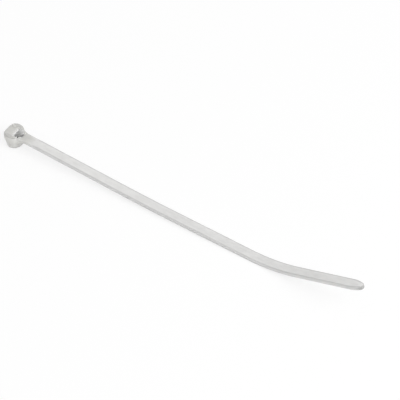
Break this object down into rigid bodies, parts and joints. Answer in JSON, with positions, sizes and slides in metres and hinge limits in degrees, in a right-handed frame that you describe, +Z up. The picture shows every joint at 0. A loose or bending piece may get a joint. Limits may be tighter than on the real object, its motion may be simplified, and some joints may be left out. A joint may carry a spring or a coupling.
{
  "type": "cable tie",
  "caption": "Cable tie with a smooth flat strap, an upturned tapering tail and a round slotted head, in which a steel barb grips the strap when it is threaded back.",
  "frame": {"origin": "middle of the part's length and width, on the floor it rests on", "axes": "+X along the tie from the head to the tail, +Y across the strap, +Z up, towards the inner side of the tie"},
  "size_m": [0.0912, 0.0048, 0.0086],
  "materials": {
    "nylon": "satin, natural slightly translucent nylon",
    "barb_steel": "dull ground steel"
  },
  "bodies": {
    "root": {"tie_body": "nylon", "locking_barb": "barb_steel"}
  },
  "joints": []
}
